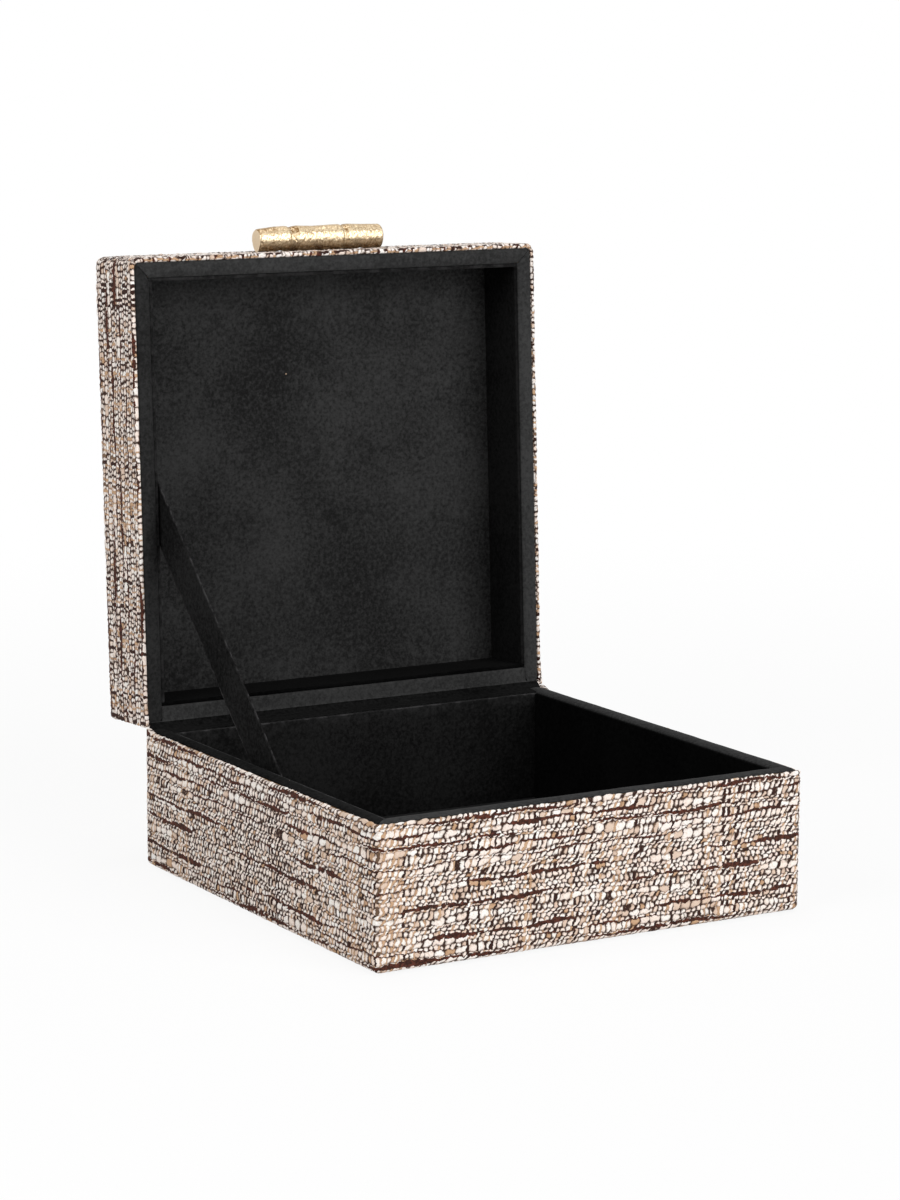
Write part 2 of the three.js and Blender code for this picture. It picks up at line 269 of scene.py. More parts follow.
def chance(index, rate, start):
    wave = sine(index * rate + start) * 91.17
    return wave - whole(wave)


# the tweed: millimetres along the weft and along the warp
cloth = {
    "rowPair": 4.2,  # two weft rows of unlike thickness
    "columnPair": 2.5,  # two warp columns of unlike width
    "thinnestRow": 0.28,  # share of a pair
    "thinnestColumn": 0.34,
    "fatRow": 0.56,  # a row above this share floats over three warps in places
    "lean": 2.4,  # how far the loops slant
    "basketFrom": 230.0,  # up the warp from here the loops stand straighter and partly in line
    "basketLean": 0.3,  # share of the slant that is left there
    "offRows": 0.48,  # share of the rows there that stand between their neighbours
    "relief": 1.0,  # millimetres of height for one unit of the formula
    "top": 0.66,  # the unit height that lies in the cover's nominal face
    "step": 0.7,  # mesh step
    "near": 0.22,  # how far round each mesh point the height is averaged
    "fray": 2.1,  # how far the yarns' outlines wander in the material
}


def pairs(x, rate, start, thinnest):
    pair = whole(x)
    inside = x - pair
    split = thinnest + (1 - 2 * thinnest) * chance(pair, rate, start)
    first = isBelow(inside, split)
    second = 1 - first
    share = first * (inside / split) + second * ((inside - split) / (1 - split))
    size = first * split + second * (1 - split)
    return 2 * pair + second, share, size


# the bare numbers here are rates and shares of the weave's waves
def weave(u, v):
    bent = v + 0.40 * sine(0.11 * u + 0.62 * v) + 0.30 * sine(0.23 * u - 0.47 * v + 1.3)
    bent = bent + 0.16 * sine(0.71 * u + 0.9 * v) + 0.14 * sine(1.7 * u + 0.8 * v)
    level = bent / cloth["rowPair"]
    row, across, rowSize = pairs(level, 1.731, 0.5, cloth["thinnestRow"])
    swell = sine(0.061 * u + 3.1 * row) + 0.5 * sine(0.14 * u - 2.2 * row)
    fat = (1 - isBelow(rowSize, cloth["fatRow"])) * (1 - isBelow(swell, 0.55))
    lean = cloth["lean"] * (chance(row, 2.37, 1.9) - 0.05) * (0.70 + 0.30 * fat)
    plain = isBelow(v, cloth["basketFrom"])
    lean = lean * (cloth["basketLean"] + (1 - cloth["basketLean"]) * plain)
    side = u + 0.30 * sine(0.19 * v + 0.05 * u) + 0.22 * sine(0.83 * v + 0.4 * u)
    side = side - lean * (across - 0.5)
    column, along, _ = pairs(side / cloth["columnPair"], 2.113, 1.1, cloth["thinnestColumn"])
    # a loop of weft spans two columns, or four in a fat row, between the warps that hold it down
    span = 2 + 2 * fat
    shift = plain * row + (1 - plain) * isBelow(chance(row, 1.57, 0.7), cloth["offRows"])
    place = (column + along - 0.5 + shift * (1 + fat)) / span
    loop = whole(place)
    inLoop = place - loop
    reach = (0.5 - larger(inLoop - 0.5, 0.5 - inLoop)) * span
    # warps: thin and dark, in bands tan or thick
    band = 0.5 + 0.5 * sine(0.26 * column + 1.4 * sine(0.11 * column))
    tan = ease(chance(column, 3.77, 0.3) + 0.50 * band, 0.92, 0.96)
    thick = ease(chance(column, 1.37, 2.3) + 0.40 * band, 0.94, 0.97) * (1 - 0.6 * tan)
    plump = chance(loop + 5.7 * row, 2.91, 0.2)
    tip = larger(1 - reach / (0.9 + 0.35 * fat), 0.0)
    edge = (across - 0.5) / 0.5
    weft = 0.80 + 0.26 * plump + 0.08 * fat - 0.75 * tip * tip - 0.58 * edge * edge
    weft = weft - 0.45 * thick * isBelow(reach, 0.5)
    half = 0.20 + 0.14 * tan + 0.32 * thick
    warpRound = 1 - (reach / half) * (reach / half)
    warpBody = 0.14 + 0.36 * tan + 0.45 * thick
    warp = 0.30 + warpBody * root(larger(warpRound, 0.0)) - 2.0 * isBelow(warpRound, 0.0)
    # dark slubs lie in broken runs between the pairs of rows
    seam = whole(level + 0.5)
    off = larger(level - seam, seam - level) * cloth["rowPair"]
    drift = sine(0.055 * u + 2.3 * seam) + 0.6 * sine(0.13 * u - 1.7 * seam + 0.8)
    drift = drift + 0.4 * larger(sine(0.00795 * u), 0.0)
    fullness = chance(seam, 4.11, 0.9)
    slubHalf = 0.16 + 0.84 * ease(drift, -0.5, 1.2) * ease(fullness, 0.15, 0.9)
    slub = isBelow(off, slubHalf) * ease(drift, -0.6, -0.4) * ease(fullness, 0.15, 0.20)
    slub = slub * isBelow(chance(column + 7.3 * seam, 1.93, 0.4), 0.92)
    height = larger(weft, warp) * (1 - slub) + 0.60 * slub
    warpOver = isBelow(weft, warp)
    return {"height": height, "warpOver": warpOver, "row": row, "loop": loop, "tan": tan, "slub": slub}


def relief(u, v):
    # millimetres; the mesh carries what its step can hold, and finer yarn is in the material
    near = cloth["near"]
    total = sum(weave(u + a * near, v + b * near)["height"] for a in (-1, 1) for b in (-1, 1))
    return (total / 4 - cloth["top"]) * cloth["relief"]


# materials
def linear(red, green, blue):
    parts = [c / 255 for c in (red, green, blue)]
    return tuple(c / 12.92 if c <= 0.04045 else ((c + 0.055) / 1.055) ** 2.4 for c in parts) + (1.0,)


def openGroup(name, inputs):
    group = bpy.data.node_groups.new(name, "ShaderNodeTree")
    for label, kind, value in [("Vector", "Vector", None)] + inputs:
        socket = group.interface.new_socket(name=label, in_out="INPUT", socket_type="NodeSocket" + kind)
        if value is not None:
            socket.default_value = value
    for label, kind in (("Color", "Color"), ("Roughness", "Float"), ("Height", "Float")):
        group.interface.new_socket(name=label, in_out="OUTPUT", socket_type="NodeSocket" + kind)
    return group, group.nodes.new("NodeGroupInput").outputs


def closeGroup(group, colour, roughness, height):
    end = group.nodes.new("NodeGroupOutput")
    for label, value in (("Color", colour), ("Roughness", roughness), ("Height", height)):
        feed(group, end.inputs[label], value)
    return group


def mixColour(tree, factor, first, second, blend="MIX"):
    node = tree.nodes.new("ShaderNodeMix")
    node.data_type = "RGBA"
    node.blend_type = blend
    for place, value in zip((0, 6, 7), (factor, first, second)):
        feed(tree, node.inputs[place], value)
    return node.outputs[2]


def noiseNode(tree, vector, scale, detail, rough):
    node = tree.nodes.new("ShaderNodeTexNoise")
    for label, value in (("Vector", vector), ("Scale", scale), ("Detail", detail), ("Roughness", rough)):
        feed(tree, node.inputs[label], value)
    return node


def noise(tree, vector, scale, detail, rough):
    return Wire(tree, noiseNode(tree, vector, scale, detail, rough).outputs["Fac"])


def splitColour(tree, colour):
    node = tree.nodes.new("ShaderNodeSeparateColor")
    tree.links.new(colour, node.inputs[0])
    return [Wire(tree, socket) for socket in node.outputs]


def grains(tree, vector, scale, detail, rough):
    # three noises that do not follow one another
    return splitColour(tree, noiseNode(tree, vector, scale, detail, rough).outputs["Color"])


def mapped(tree, vector, scale, kind="POINT", rotation=(0, 0, 0)):
    node = tree.nodes.new("ShaderNodeMapping")
    node.vector_type = kind
    node.inputs["Rotation"].default_value = rotation
    node.inputs["Scale"].default_value = scale
    tree.links.new(vector, node.inputs["Vector"])
    return node.outputs["Vector"]


def newMaterial(name, group, values, shader, bump, attributes={}):
    material = bpy.data.materials.new(name)
    material.use_nodes = True
    tree = material.node_tree
    surface = tree.nodes["Principled BSDF"]
    effect = tree.nodes.new("ShaderNodeGroup")
    effect.node_tree = group
    spot = tree.nodes.new("ShaderNodeTexCoord")
    tree.links.new(spot.outputs["Object"], effect.inputs["Vector"])
    for label, value in values.items():
        effect.inputs[label].default_value = value
    for label, (layer, output) in attributes.items():
        node = tree.nodes.new("ShaderNodeAttribute")
        node.attribute_name = layer
        tree.links.new(node.outputs[output], effect.inputs[label])
    for label, value in shader.items():
        surface.inputs[label].default_value = value
    node = tree.nodes.new("ShaderNodeBump")
    node.inputs["Strength"].default_value, node.inputs["Distance"].default_value = bump
    tree.links.new(effect.outputs["Color"], surface.inputs["Base Color"])
    tree.links.new(effect.outputs["Roughness"], surface.inputs["Roughness"])
    tree.links.new(effect.outputs["Height"], node.inputs["Height"])
    tree.links.new(node.outputs["Normal"], surface.inputs["Normal"])
    return material


yarns = {
    "white": linear(253, 251, 248),
    "blush": linear(247, 231, 220),
    "beige": linear(220, 196, 176),
    "tan": linear(202, 167, 134),
    "dark": linear(58, 38, 33),
    "russet": linear(104, 60, 48),
    # gap is no yarn: it is painted shade for the hollows between the loops
    "gap": linear(62, 43, 36),
}


def tweedGroup():
    colours = [(name.capitalize(), "Color", colour) for name, colour in yarns.items()]
    tree, given = openGroup("tweedWeave", [("Weave", "Vector", None)] + colours)
    spot = given["Weave"]
    split = tree.nodes.new("ShaderNodeSeparateXYZ")
    tree.links.new(spot, split.inputs[0])
    strayU, strayV, _ = grains(tree, spot, 0.55, 3.0, 0.6)
    cloths = weave(
        Wire(tree, split.outputs["X"]) + (strayU - 0.5) * cloth["fray"],
        Wire(tree, split.outputs["Y"]) + (strayV - 0.5) * cloth["fray"],
    )
    # one random number for each loop of yarn
    loop = tree.nodes.new("ShaderNodeCombineXYZ")
    feed(tree, loop.inputs["X"], cloths["row"])
    feed(tree, loop.inputs["Y"], cloths["loop"])
    dice = tree.nodes.new("ShaderNodeTexWhiteNoise")
    tree.links.new(loop.outputs["Vector"], dice.inputs["Vector"])
    luck = Wire(tree, dice.outputs["Value"])
    fibre = noise(tree, mapped(tree, spot, (1.0, 3.2, 1.0)), 1.6, 3.0, 0.6)
    tint, slubTint, _ = grains(tree, spot, 0.9, 1.0, 0.5)
    crowd = noise(tree, spot, 0.30, 2.0, 0.6)
    # the weave's height, made uneven by a slow noise, sets where the painted shade falls
    depth = cloths["height"] + (crowd - 0.5) * 0.9
    weft = mixColour(tree, luck, given["White"], given["Blush"])
    weft = mixColour(tree, ease(luck, 0.86, 0.88) * 0.8, weft, given["Beige"])
    weft = mixColour(tree, ease(luck, 0.975, 0.978), weft, given["Tan"])
    weft = mixColour(tree, isBelow(luck, 0.008), weft, given["Dark"])
    weft = mixColour(tree, ease(tint, 0.54, 0.68) * 0.4, weft, given["Beige"])
    warp = mixColour(tree, cloths["tan"], given["Dark"], given["Tan"])
    top = mixColour(tree, cloths["warpOver"], weft, warp)
    slub = mixColour(tree, ease(slubTint, 0.38, 0.62), given["Dark"], given["Russet"])
    top = mixColour(tree, cloths["slub"], top, slub)
    # painted shade on the loops' low flanks, mixed with the fibre's own tone, multiplied in as grey-brown
    shadeAndFibre = 0.6 * (1 - ease(depth, 0.3, 0.95)) + 0.55 * ease(fibre, 0.45, 0.70)
    top = mixColour(tree, shadeAndFibre, top, linear(196, 178, 164), "MULTIPLY")
    # painted shade: where the weave lies low the colour turns to the gap colour
    shaded = mixColour(tree, ease(depth, 0.22, 0.74), given["Gap"], top)
    return closeGroup(tree, shaded, 0.86 + 0.1 * fibre, 0.7 * cloths["height"] + 0.5 * fibre)


def suedeGroup():
    tree, given = openGroup("suedeNap", [
        ("Colour", "Color", None), ("Worn", "Color", None), ("Lint", "Float", 0.0), ("Edge", "Float", 0.0),
    ])
    spot = given["Vector"]
    cloudy = noise(tree, spot, 22.0, 2.0, 0.5)
    mottled = noise(tree, spot, 620.0, 3.0, 0.6)
    nap = noise(tree, spot, 1100.0, 2.0, 0.6)
    brushed = ease(0.30 * cloudy + 0.45 * mottled + 0.25 * nap, 0.36, 0.64)
    colour = mixColour(tree, brushed, given["Colour"], given["Worn"])
    # edges are lighter in patches: painted highlight where the cards' edges catch the light, and the
    # ribbon's own lighter fuzz
    patchy = noise(tree, spot, 210.0, 3.0, 0.6)
    fuzzAndHighlight = Wire(tree, given["Edge"]) * (0.05 + 0.42 * ease(patchy, 0.44, 0.62))
    colour = mixColour(tree, fuzzAndHighlight, colour, linear(82, 81, 82))
    # sparse specks of lint
    cells = tree.nodes.new("ShaderNodeTexVoronoi")
    cells.inputs["Scale"].default_value = 75.0
    tree.links.new(spot, cells.inputs["Vector"])
    speck = isBelow(Wire(tree, cells.outputs["Distance"]), 0.028)
    rare = isBelow(splitColour(tree, cells.outputs["Color"])[0], Wire(tree, given["Lint"]))
    colour = mixColour(tree, speck * rare * 0.7, colour, linear(190, 165, 140))
    return closeGroup(tree, colour, 0.90 + 0.08 * mottled, 0.7 * nap + 0.3 * mottled)


def metalGroup():
    tree, given = openGroup("workedMetal", [
        ("Colour", "Color", None), ("Deep", "Color", None),
        ("Brush", "Float", 0.5), ("Base Roughness", "Float", 0.3), ("Patina", "Float", 0.0),
    ])
    slanted = mapped(tree, given["Vector"], (1.0, 1.0, 3.2), "TEXTURE", (0, math.radians(38), 0))
    scratch = noise(tree, slanted, 1700.0, 3.0, 0.65)
    dent = noise(tree, given["Vector"], 420.0, 2.0, 0.5)
    brush = Wire(tree, given["Brush"])
    # painted dark reflection: the mask turns the colour towards Deep, broken up by the scratches, and also
    # roughens the metal
    patina = Wire(tree, given["Patina"]) * ease(scratch, 0.25, 0.60)
    deep = larger(ease(scratch, 0.42, 0.64) * brush * 0.8, patina)
    colour = mixColour(tree, deep, given["Colour"], given["Deep"])
    rough = Wire(tree, given["Base Roughness"]) + (scratch - 0.5) * 0.25 + 0.25 * patina
    return closeGroup(tree, colour, rough, (0.7 * scratch + 0.7 * dent) * brush)


def boardGroup():
    tree, given = openGroup("pressedFibre", [("Colour", "Color", None), ("Fleck", "Color", None)])
    grain = noise(tree, given["Vector"], 500.0, 4.0, 0.7)
    fleck = noise(tree, given["Vector"], 1400.0, 2.0, 0.6)
    share = 0.6 * ease(grain, 0.4, 0.62) + 0.3 * ease(fleck, 0.55, 0.7)
    colour = mixColour(tree, share, given["Colour"], given["Fleck"])
    return closeGroup(tree, colour, 0.7 + 0.2 * grain, grain)


tweed = newMaterial(
    "tweed", tweedGroup(), {},
    {"Specular IOR Level": 0.1, "Sheen Weight": 0.03}, (0.7, 0.5 * mm), {"Weave": ("weave", "Vector")},
)
napFinish = {"Specular IOR Level": 0.03, "Sheen Weight": 0.03, "Sheen Roughness": 0.5}
flatFinish = {"Specular IOR Level": 0.01, "Sheen Weight": 0.005, "Sheen Roughness": 0.5}
fuzzAndLitEdge = {"Edge": ("edge", "Fac")}
# grey of the dark nap and of the worn nap, share of lint, finish, attributes
suedeLooks = {
    "suedeLining": (25, 54, 0.02, napFinish, {}),
    # painted shade: the cards inside both halves take a darker copy of the lining
    "suedeWellShade": (10, 33, 0.02, napFinish, fuzzAndLitEdge),
    "suedeRim": (37, 58, 0.04, napFinish, {}),
    "suedeRimLeftShade": (26, 46, 0.04, napFinish, {}),
    "suedeRibbon": (11, 33, 0.04, flatFinish, fuzzAndLitEdge),
    "suedeShade": (3, 13, 0.02, flatFinish, {}),
    # painted shade: a darker copy for the crease of the hinge and the lid's right liner
    "suedeHalfShade": (9, 27, 0.02, flatFinish, {}),
}
suedeNodes = suedeGroup()
suede = {}
for name, (dark, worn, lint, finish, attributes) in suedeLooks.items():
    greys = {"Colour": linear(dark, dark, dark), "Worn": linear(worn, worn, worn), "Lint": lint}
    suede[name] = newMaterial(name, suedeNodes, greys, finish, (0.4, 0.15 * mm), attributes)
metalNodes = metalGroup()
brass = newMaterial(
    "hammeredBrass", metalNodes,
    {"Colour": linear(224, 205, 172), "Deep": linear(122, 90, 50), "Brush": 0.9, "Base Roughness": 0.36},
    {"Metallic": 1.0}, (0.8, 0.2 * mm), {"Patina": ("patina", "Fac")},
)
brassCap = newMaterial(
    "cutBrass", metalNodes,
    {"Colour": linear(240, 217, 184), "Deep": linear(216, 190, 152), "Brush": 0.25, "Base Roughness": 0.55},
    {"Metallic": 0.2}, (0.2, 0.1 * mm),
)
screwSteel = newMaterial(
    "screwSteel", metalNodes,
    {"Colour": linear(190, 192, 195), "Deep": linear(150, 152, 155), "Brush": 0.4, "Base Roughness": 0.35},
    {"Metallic": 1.0}, (0.3, 0.1 * mm),
)
boardNodes = boardGroup()
boardFinish = {"Specular IOR Level": 0.3}
fibreboard = newMaterial(
    "fibreboard", boardNodes,
    {"Colour": linear(176, 138, 92), "Fleck": linear(140, 104, 66)}, boardFinish, (0.3, 0.2 * mm),
)
greyCard = newMaterial(
    "greyCard", boardNodes,
    {"Colour": linear(150, 143, 132), "Fleck": linear(122, 115, 106)}, boardFinish, (0.3, 0.2 * mm),
)
print("materials made:", len(bpy.data.materials))


# how both tweed covers lie at the hinge, in millimetres
atHinge = {
    "half": 97.2, "soft": 0.4,  # half the hinge's length, and how gently its cut ends
    "cutBlend": 7.0,  # how far from the rim the cut is felt
    "square": 0.85,  # how square the back corners are
    "meetGap": 0.06,  # each cover ends this far from the hinge line at the back corners
    "meetWidth": 0.8, "meetStart": 8.0, "meetFade": 6.0, "meetHeight": 3.0, "meetBlend": 2.0,
}


def backCorner(x, y, back):
    # 1 beside the hinge, where the cloth of both halves meets
    wide = np.clip((np.abs(x) - atHinge["half"]) / atHinge["meetWidth"], 0, 1)
    return wide * np.clip((y - back + atHinge["meetStart"]) / atHinge["meetFade"], 0, 1)


def rimShare(inward):
    # 1 close to the rim
    return np.clip((atHinge["meetHeight"] - inward) / atHinge["meetBlend"], 0, 1)


def alongHinge(x):
    # 1 under the hinge's cloth
    return ease(-np.abs(x), -atHinge["half"] - atHinge["soft"], -atHinge["half"] + atHinge["soft"])


# the base's tweed: one wrap round the four sides, turned in under the floor
wrap = {
    "cornerRadius": 3.0, "edgeRadius": 2.6, "thickness": 2.0, "hem": 14.0,  # millimetres
    "hingeCut": 0.6, "rimDrop": 0.6,
    "underRelief": 0.25,  # share of the weave's relief under the floor
    "weaveTop": 200.94,  # the weave's height at the turned-in edge: one row of loops lies along the top
    "beads": 0.7,  # how much fuller the loops are there
    "rightDrop": 0.45,  # how much lower the cloth ends on the right
}


def outlineOf(half, radius, step):
    # core point, outward direction and length along the outline, from the middle of the back
    straight = half - radius
    sideCount = 2 * round(straight / step)
    cornerCount = round(radius * math.pi / 2 / step)
    cores, ways, lengths = [], [], []
    travelled = 0.0
    for turn in range(4):
        angle = math.pi / 2 + turn * math.pi / 2
        out = np.array([math.cos(angle), math.sin(angle)])
        along = np.array([-out[1], out[0]])
        for t in np.arange(sideCount) / sideCount:
            cores.append(straight * out + (2 * t - 1) * straight * along)
            ways.append(out)
            lengths.append(travelled + 2 * straight * t)
        travelled += 2 * straight
        for t in np.arange(cornerCount) / cornerCount:
            bend = angle + t * math.pi / 2
            cores.append(straight * (out + along))
            ways.append(np.array([math.cos(bend), math.sin(bend)]))
            lengths.append(travelled + radius * math.pi / 2 * t)
        travelled += radius * math.pi / 2
    back = sideCount // 2
    cores = np.roll(np.array(cores), -back, 0)
    ways = np.roll(np.array(ways), -back, 0)
    lengths = np.roll(np.array(lengths), -back) - straight
    return cores, ways, np.where(lengths < 0, lengths + travelled, lengths), travelled


def wrapProfile(top, bottom):
    # millimetres out from the face and up, share of the weave's relief, extra share away from the hinge
    thick, edge, hem, under = (wrap[key] for key in ("thickness", "edgeRadius", "hem", "underRelief"))
    lip = thick / 2
    rows = []
    for a in np.linspace(180, 20, 7):
        angle = math.radians(a)
        share = np.clip((200 - a) / 120, 0, 1)
        beads = wrap["beads"] * share * math.sin(angle) * np.clip((150 - a) / 60, 0, 1)
        rows.append((lip * math.cos(angle) - lip, top - lip + lip * math.sin(angle), share, beads))
    count = round((top - lip - bottom - edge) / cloth["step"])
    for z in np.linspace(top - lip, bottom + edge, count + 1):
        rows.append((0.0, z, 1.0, 0.0))
    for a in np.linspace(0, -90, 8)[1:]:
        angle = math.radians(a)
        share = 1 + (1 - under) * a / 90
        rows.append((edge * math.cos(angle) - edge, bottom + edge + edge * math.sin(angle), share, 0.0))
    for n in np.linspace(-edge, -thick - hem, 6)[1:]:
        rows.append((n, bottom, under if n > -thick - hem else 0.0, 0.0))
    for n in np.linspace(-thick - hem, -thick, 4):
        rows.append((n, bottom + thick, 0.0, 0.0))
    for z in np.linspace(bottom + thick, top - lip, 5)[1:-1]:
        rows.append((-thick, z, 0.0, 0.0))
    return np.array(rows)


def makeBaseTweed():
    half = baseHigh[0] / mm
    top, bottom = rimLevel / mm - wrap["rimDrop"], baseLow[2] / mm
    radius = wrap["cornerRadius"]
    cores, ways, lengths, around = outlineOf(half, radius, cloth["step"])
    profile = wrapProfile(top, bottom)
    steps = np.linalg.norm(np.diff(profile[:, :2], axis=0), axis=1)
    run = np.concatenate([[0], np.cumsum(steps)])
    rows, columns = len(profile), len(cores)
    reach = np.maximum(radius + profile[:, 0], 0.5)
    scale = (half - radius + (radius + profile[:, 0] - reach)) / (half - radius)
    # the two back corners, beside the hinge, are nearly square
    square = np.where(ways[:, 1] > 0, np.abs(ways).max(1) ** -atHinge["square"], 1.0)
    flat = cores[None] * scale[:, None, None] + ways[None] * reach[:, None, None] * square[None, :, None]
    tilt = np.gradient(profile[:, 0], run), np.gradient(profile[:, 1], run)
    size = np.hypot(*tilt)
    outward, upward = -tilt[1] / size, tilt[0] / size
    u = np.broadcast_to(lengths[None], (rows, columns))
    v = np.broadcast_to(wrap["weaveTop"] - run[:, None], (rows, columns))
    free = np.clip(1 - 2 * np.maximum(ways[:, 1], ways[:, 0]), 0, 1)
    lift = relief(u, v) * (profile[:, 2][:, None] + profile[:, 3][:, None] * free[None])
    # cloth of both halves meets, and lies flat, beside the hinge
    corner = backCorner(flat[:, :, 0], flat[:, :, 1], half)
    lift = lift * (1 - corner * rimShare(top - profile[:, 1][:, None]))
    points = np.zeros((rows, columns, 3))
    points[:, :, :2] = flat + ways[None] * (lift * outward[:, None])[:, :, None]
    points[:, :, 2] = profile[:, 1][:, None] + lift * upward[:, None]
    # the cloth of the hinge passes over the back's top edge, and the right side ends lower
    isBack = ways[:, 1][None] > 0.99
    cut = wrap["hingeCut"] * isBack * alongHinge(flat[:, :, 0])
    low = wrap["rightDrop"] * ease(ways[:, 0], 0.7, 1.0)[None] * (1 - corner)
    for drop in (cut, low):
        points[:, :, 2] -= drop * np.clip((points[:, :, 2] - top) / atHinge["cutBlend"] + 1, 0, 1)
    meeting = hingePoint[2] / mm - atHinge["meetGap"]
    points[:, :, 2] += corner * rimShare(top - points[:, :, 2]) * (meeting - points[:, :, 2])
    piece = meshPiece("baseTweed", points.reshape(-1, 3) * mm, loftFaces(rows, columns, True, True), tweed)
    # weave and bake places by face corner, so that the seam at the back closes
    r = np.repeat(np.arange(rows), columns)
    c = np.tile(np.arange(columns), rows)
    ends = np.append(lengths, around)
    runEnds = np.append(run, run[-1] + 1)
    uCorners = np.stack([ends[c], ends[c], ends[c + 1], ends[c + 1]], 1)
    runCorners = np.stack([runEnds[r], runEnds[r + 1], runEnds[r + 1], runEnds[r]], 1)
    cornerVectors(piece, "weave", np.stack([uCorners, wrap["weaveTop"] - runCorners, 0 * uCorners], 2))
    # the four quarters of the wrap lie above one another in the bake, with a margin
    band = np.minimum(4 * c // columns, 3)[:, None]
    spotU = (uCorners - ends[band * columns // 4]) / (around / 4)
    spotV = (band + 0.02 + 0.96 * runCorners / runEnds[-1]) / 4
    bakeMap(piece, np.stack([0.01 + 0.97 * spotU, spotV], 2))
    standFor(piece, "base_fabric_cover", "base")
    return piece


baseTweed = makeBaseTweed()
print("base tweed:", len(baseTweed.data.polygons), "faces")


# the lid's tweed: one cut over the top and down the four sides
hood = {
    "radius": 4.0, "thickness": 2.0, "hingeCut": 1.1, "cutReach": 1.0,  # millimetres
    "rollStep": 0.35,  # weave taken up by each step of the rolled edge
    "shift": (300.0, 400.0),  # so that the lid's cloth is not the base's pattern again
    "bakeMargin": 6.0,
}


def makeLidTweed():
    low, high = lidBox("lid_fabric_cover")
    radius, thick = hood["radius"], hood["thickness"]
    axes = [np.linspace(low[k], high[k], round((high[k] - low[k]) / cloth["step"]) + 1) for k in range(3)]
    flat, faces = lattice(axes, ["x-", "x+", "y-", "y+", "z+"])
    deep = low - np.array([0, 0, 4 * radius])
    points, normals, core, out = rounded(flat, deep, high, radius)
    sides = np.abs(normals[:, :2])
    plan = np.maximum(np.linalg.norm(sides, axis=1), 1e-6)
    square = np.where(flat[:, 1] > 0, (np.maximum(sides.max(1), 1e-6) / plan) ** -atHinge["square"], 1.0)
    points[:, :2] = core[:, :2] + (points - core)[:, :2] * square[:, None]
    drop = high[2] - radius - core[:, 2]
    sign = np.where(flat < 0, -1.0, 1.0)
    reach = np.abs(core)
    wide = np.abs(out)

    def unfold(side):
        # places on the flat cut, as seen from this side
        axis = "xyz".index(side[0])
        spots = []
        for k in (0, 1):
            if axis == 2:
                turn = np.arctan2(wide[:, k], np.maximum(out[:, 2], 1e-6))
            elif axis == k:
                turn = math.pi / 2 - np.arctan2(out[:, 2], wide[:, k])
            else:
                turn = np.arctan2(wide[:, k], wide[:, axis])
            spots.append(sign[:, k] * (reach[:, k] + radius * turn + drop * (axis == k)))
        return np.stack(spots[::-1], 1)

    unfolded = {side: unfold(side) for side in faces}
    chosen = unfolded["z+"].copy()
    for side in ("x-", "x+", "y-", "y+"):
        members = np.unique(faces[side])
        chosen[members] = unfolded[side][members]
    lift = relief(chosen[:, 0] + hood["shift"][0], chosen[:, 1] + hood["shift"][1])
    points = points + normals * lift[:, None]
    # the rolled edge at the rim, then the inner face
    onRim = np.isclose(flat[:, 2], low[2])
    rimIds = np.flatnonzero(onRim)
    rimIds = rimIds[np.argsort(np.arctan2(flat[rimIds, 1], flat[rimIds, 0]))]
    ways = normals[rimIds].copy()
    ways[:, 2] = 0
    ways /= np.linalg.norm(ways, axis=1, keepdims=True)
    ring = core[rimIds] + radius * ways * square[rimIds][:, None]
    ring[:, 2] = 0
    lip = thick / 2
    rolls = []
    for a in np.linspace(0, 180, 9)[1:]:
        angle = math.radians(a)
        share = np.clip(1.5 - a / 90, 0, 1)
        inward = lip - lip * math.cos(angle)
        roll = ring - ways * (inward - share * math.cos(angle) * lift[rimIds])[:, None]
        roll[:, 2] = low[2] + lip - (lip + share * lift[rimIds]) * math.sin(angle)
        rolls.append(roll)
    wall = rolls[-1].copy()
    wall[:, 2] = high[2] - thick - radius / 2
    rolls.append(wall)
    points[onRim, 2] = low[2] + lip
    nearRim = flat[:, 2] < low[2] + lip
    points[nearRim & ~onRim, 2] = low[2] + lip + 0.01
    count, around = len(points), len(rimIds)
    chain = [rimIds] + [count + k * around + np.arange(around) for k in range(len(rolls))]
    everything = np.concatenate([points] + rolls)
    isBack = everything[:, 1] > high[1] - thick - hood["cutReach"]
    cut = hood["hingeCut"] * isBack * alongHinge(everything[:, 0])
    everything[:, 2] += cut * np.clip(1 - everything[:, 2] / atHinge["cutBlend"], 0, 1)
    # cloth of both halves meets beside the hinge
    corner = backCorner(everything[:, 0], everything[:, 1], high[1])
    meeting = atHinge["meetGap"] - lidShift[2] / mm
    everything[:, 2] += corner * rimShare(everything[:, 2]) * (meeting - everything[:, 2])
    # faces, with their places in the weave and in the bake by face corner
    quads = list(faces.values())
    weaves = [unfolded[side][quad] for side, quad in faces.items()]
    bottom = chosen[rimIds]
    order = np.arange(around)
    after = np.roll(order, -1)
    sideOf = np.where(np.abs(ways[:, 0]) > np.abs(ways[:, 1]), 1, 0)
    push = np.zeros_like(bottom)
    push[order, sideOf] = np.sign(bottom[order, sideOf])
    for k, (here, there) in enumerate(zip(chain, chain[1:])):
        quads.append(np.stack([here, there, there[after], here[after]], 1))
        near = bottom + push * (k * hood["rollStep"])
        far = bottom + push * ((k + 1) * hood["rollStep"])
        weaves.append(np.stack([near, far, far[after], near[after]], 1))
    ceiling = chain[-1][::-1]
    piece = meshPiece("lidTweed", onLid(everything * mm), list(np.concatenate(quads)) + [ceiling], tweed)
    corners = np.concatenate(weaves).reshape(-1, 2)
    shifted = np.concatenate([corners, np.zeros((around, 2))]) + np.array(hood["shift"])
    cornerVectors(piece, "weave", np.concatenate([shifted, np.zeros((len(shifted), 1))], 1))
    span = 2 * (np.abs(chosen).max() + hood["bakeMargin"])
